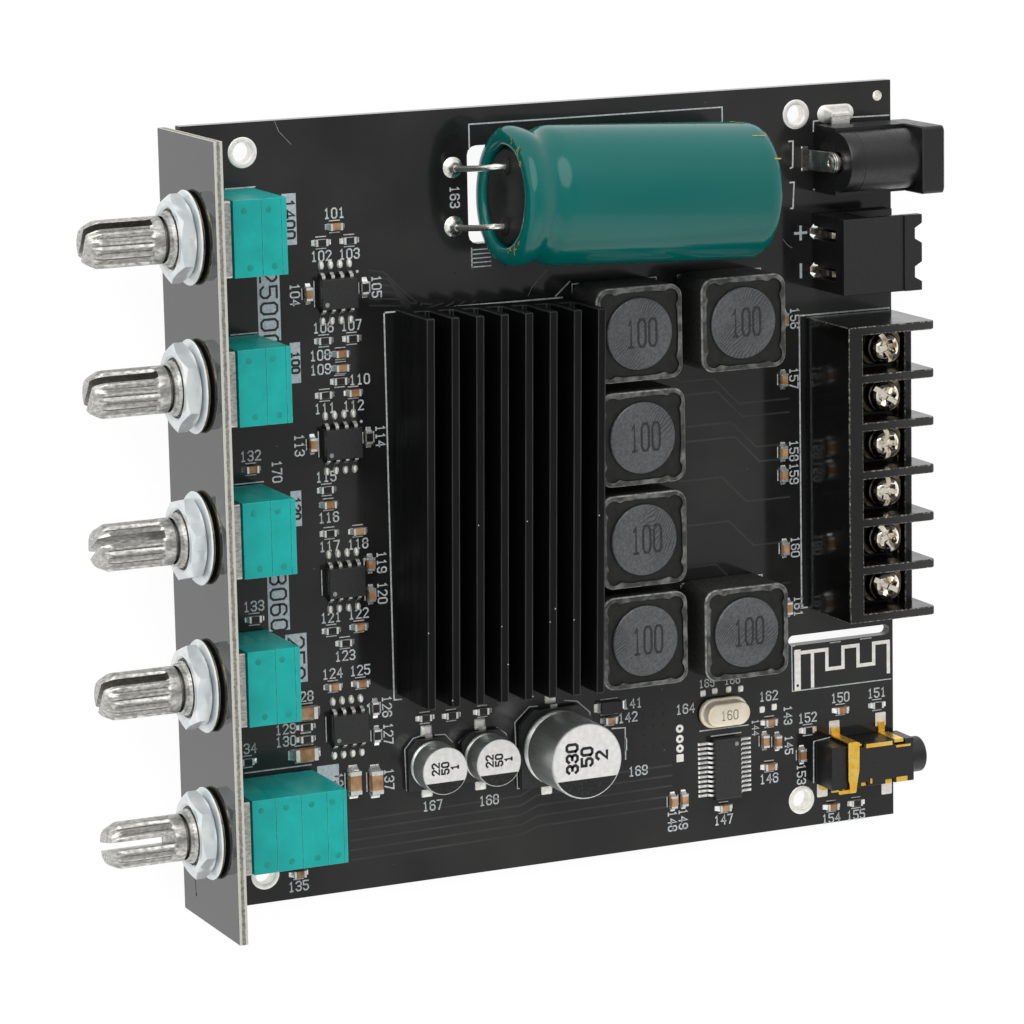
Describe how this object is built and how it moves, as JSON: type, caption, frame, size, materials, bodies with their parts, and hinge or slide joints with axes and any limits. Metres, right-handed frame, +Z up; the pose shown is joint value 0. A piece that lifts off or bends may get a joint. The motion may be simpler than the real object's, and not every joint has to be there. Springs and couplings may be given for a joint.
{
  "type": "audio amplifier board",
  "caption": "Square audio amplifier board with control shafts through a front panel, a finned heatsink, and power, speaker and audio sockets along its back edge.",
  "frame": {"origin": "centre of the circuit board's underside", "axes": "+Z up, away from the board's component side; -Y towards the front panel and its shafts; +Y towards the sockets; +X along the back edge from the power socket to the audio socket"},
  "size_m": [0.1001, 0.1175, 0.0207],
  "materials": {
    "solder_mask": "black solder mask over fibreglass laminate, white legend print, tinned pads",
    "panel_gloss": "polished black faces with pale cut edges",
    "anodised": "black anodised extrusion",
    "sleeve": "dark teal shrunk sleeve with a paler stripe",
    "bung": "black rubber bung with two tinned leads",
    "bare_can": "bare can with a black printed segment on a black base",
    "ferrite": "matt grey pressed ferrite",
    "black_nylon": "black moulded nylon",
    "nickel": "nickel plate with a warm tint",
    "gold_flash": "gold flash over copper alloy",
    "cream_steel": "satin cream-grey can",
    "epoxy": "black moulded epoxy with tinned leads",
    "teal_plastic": "teal moulded plastic",
    "die_cast": "satin zinc die casting",
    "zinc_plate": "bright zinc plate"
  },
  "bodies": {
    "board": {"main_board": "solder_mask", "front_panel": "panel_gloss", "heatsink": "anodised", "reservoir_capacitor_can": "sleeve", "reservoir_capacitor_bung": "bung", "upright_capacitor_1": "bare_can", "upright_capacitor_2": "bare_can", "upright_capacitor_3": "bare_can", "inductor_1": "ferrite", "inductor_2": "ferrite", "inductor_3": "ferrite", "inductor_4": "ferrite", "inductor_5": "ferrite", "inductor_6": "ferrite", "power_jack_housing": "black_nylon", "plug_header": "black_nylon", "terminal_block": "black_nylon", "audio_jack_body": "black_nylon", "power_jack_pin": "nickel", "power_jack_side_contact": "nickel", "audio_jack_clip": "gold_flash", "crystal": "cream_steel", "radio_chip": "epoxy", "pot_1_housing": "teal_plastic", "pot_2_housing": "teal_plastic", "pot_3_housing": "teal_plastic", "pot_4_housing": "teal_plastic", "pot_5_housing": "teal_plastic", "pot_1_bushing": "die_cast", "pot_2_bushing": "die_cast", "pot_3_bushing": "die_cast", "pot_4_bushing": "die_cast", "pot_5_bushing": "die_cast", "pot_1_washer": "zinc_plate", "pot_1_nut": "zinc_plate", "pot_2_washer": "zinc_plate", "pot_2_nut": "zinc_plate", "pot_3_washer": "zinc_plate", "pot_3_nut": "zinc_plate", "pot_4_washer": "zinc_plate", "pot_4_nut": "zinc_plate", "pot_5_washer": "zinc_plate", "pot_5_nut": "zinc_plate"},
    "shaft_1": {"pot_1_shaft": "die_cast"},
    "shaft_2": {"pot_2_shaft": "die_cast"},
    "shaft_3": {"pot_3_shaft": "die_cast"},
    "shaft_4": {"pot_4_shaft": "die_cast"},
    "shaft_5": {"pot_5_shaft": "die_cast"},
    "clamp_1": {"clamp_plate_1": "nickel"},
    "screw_1": {"terminal_screw_1": "nickel"},
    "clamp_2": {"clamp_plate_2": "nickel"},
    "screw_2": {"terminal_screw_2": "nickel"},
    "clamp_3": {"clamp_plate_3": "nickel"},
    "screw_3": {"terminal_screw_3": "nickel"},
    "clamp_4": {"clamp_plate_4": "nickel"},
    "screw_4": {"terminal_screw_4": "nickel"},
    "clamp_5": {"clamp_plate_5": "nickel"},
    "screw_5": {"terminal_screw_5": "nickel"},
    "clamp_6": {"clamp_plate_6": "nickel"},
    "screw_6": {"terminal_screw_6": "nickel"}
  },
  "joints": [
    {"name": "pot_1_turn", "type": "hinge", "parent": "board", "child": "shaft_1", "pos_m": [-0.03703, -0.04977, 0.0081], "axis": [0, -1, 0], "range_deg": [-208, 92]},
    {"name": "pot_2_turn", "type": "hinge", "parent": "board", "child": "shaft_2", "pos_m": [-0.01868, -0.04977, 0.0081], "axis": [0, -1, 0], "range_deg": [-202, 98]},
    {"name": "pot_3_turn", "type": "hinge", "parent": "board", "child": "shaft_3", "pos_m": [0.00028, -0.04977, 0.0081], "axis": [0, -1, 0], "range_deg": [-181, 119]},
    {"name": "pot_4_turn", "type": "hinge", "parent": "board", "child": "shaft_4", "pos_m": [0.01897, -0.04977, 0.0081], "axis": [0, -1, 0], "range_deg": [-203, 97]},
    {"name": "pot_5_turn", "type": "hinge", "parent": "board", "child": "shaft_5", "pos_m": [0.03787, -0.04977, 0.0081], "axis": [0, -1, 0], "range_deg": [-162, 138]},
    {"name": "clamp_1_lift", "type": "slide", "parent": "board", "child": "clamp_1", "axis": [0, 0, 1], "range_m": [0, 0.002]},
    {"name": "screw_1_turn", "type": "hinge", "parent": "clamp_1", "child": "screw_1", "pos_m": [-0.01565, 0.04437, 0.0081], "axis": [0, 0, 1], "range_deg": [0, 1440]},
    {"name": "clamp_2_lift", "type": "slide", "parent": "board", "child": "clamp_2", "axis": [0, 0, 1], "range_m": [0, 0.002]},
    {"name": "screw_2_turn", "type": "hinge", "parent": "clamp_2", "child": "screw_2", "pos_m": [-0.0093, 0.04437, 0.0081], "axis": [0, 0, 1], "range_deg": [0, 1440]},
    {"name": "clamp_3_lift", "type": "slide", "parent": "board", "child": "clamp_3", "axis": [0, 0, 1], "range_m": [0, 0.002]},
    {"name": "screw_3_turn", "type": "hinge", "parent": "clamp_3", "child": "screw_3", "pos_m": [-0.00295, 0.04437, 0.0081], "axis": [0, 0, 1], "range_deg": [0, 1440]},
    {"name": "clamp_4_lift", "type": "slide", "parent": "board", "child": "clamp_4", "axis": [0, 0, 1], "range_m": [0, 0.002]},
    {"name": "screw_4_turn", "type": "hinge", "parent": "clamp_4", "child": "screw_4", "pos_m": [0.0034, 0.04437, 0.0081], "axis": [0, 0, 1], "range_deg": [0, 1440]},
    {"name": "clamp_5_lift", "type": "slide", "parent": "board", "child": "clamp_5", "axis": [0, 0, 1], "range_m": [0, 0.002]},
    {"name": "screw_5_turn", "type": "hinge", "parent": "clamp_5", "child": "screw_5", "pos_m": [0.00975, 0.04437, 0.0081], "axis": [0, 0, 1], "range_deg": [0, 1440]},
    {"name": "clamp_6_lift", "type": "slide", "parent": "board", "child": "clamp_6", "axis": [0, 0, 1], "range_m": [0, 0.002]},
    {"name": "screw_6_turn", "type": "hinge", "parent": "clamp_6", "child": "screw_6", "pos_m": [0.0161, 0.04437, 0.0081], "axis": [0, 0, 1], "range_deg": [0, 1440]}
  ],
  "couplings": [
    {"joint": "screw_1_turn", "follows": "clamp_1_lift", "rad_per_m": 12566},
    {"joint": "screw_2_turn", "follows": "clamp_2_lift", "rad_per_m": 12566},
    {"joint": "screw_3_turn", "follows": "clamp_3_lift", "rad_per_m": 12566},
    {"joint": "screw_4_turn", "follows": "clamp_4_lift", "rad_per_m": 12566},
    {"joint": "screw_5_turn", "follows": "clamp_5_lift", "rad_per_m": 12566},
    {"joint": "screw_6_turn", "follows": "clamp_6_lift", "rad_per_m": 12566}
  ]
}
